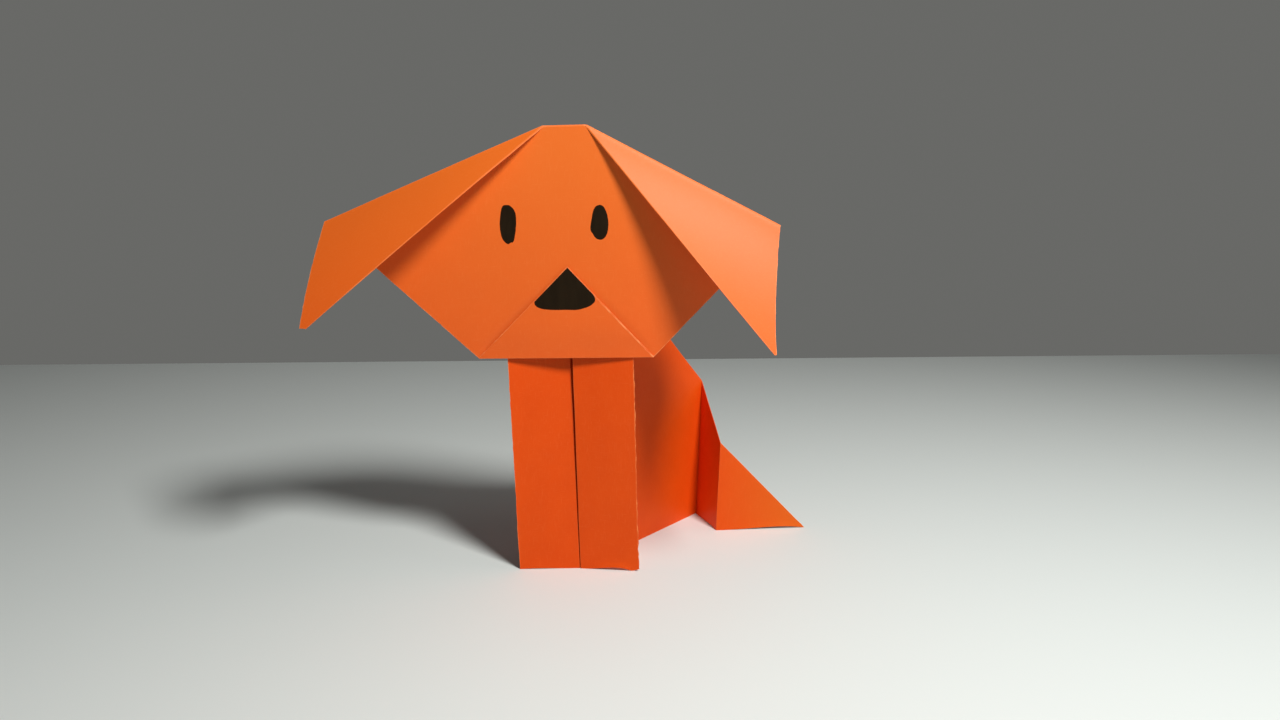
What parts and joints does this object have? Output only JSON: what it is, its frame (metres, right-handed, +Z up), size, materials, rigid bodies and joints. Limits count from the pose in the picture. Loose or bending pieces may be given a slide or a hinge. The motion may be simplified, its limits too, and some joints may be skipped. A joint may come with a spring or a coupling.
{
  "type": "origami dog",
  "caption": "Standing paper dog folded from orange squares, with flopped ears, turned-up snout, inked eyes and nose, split legs and a pleated tail.",
  "frame": {"origin": "on the table, at the foot of the seam between the two front legs", "axes": "+Z up; the dog looks along -Y; +X runs towards the tail's side, along the longest extent"},
  "size_m": [0.1739, 0.0895, 0.1542],
  "materials": {
    "body_paper": "orange copy paper, dyed through, matte",
    "head_paper": "orange copy paper, dyed through, matte",
    "ink": "black marker ink soaked into the paper, matte",
    "glue": "dried craft glue, clear to white"
  },
  "bodies": {
    "root": {"body_sheet": "body_paper", "head_sheet": "head_paper", "left_eye": "ink", "right_eye": "ink", "nose": "ink", "glue_dab": "glue"}
  },
  "joints": []
}
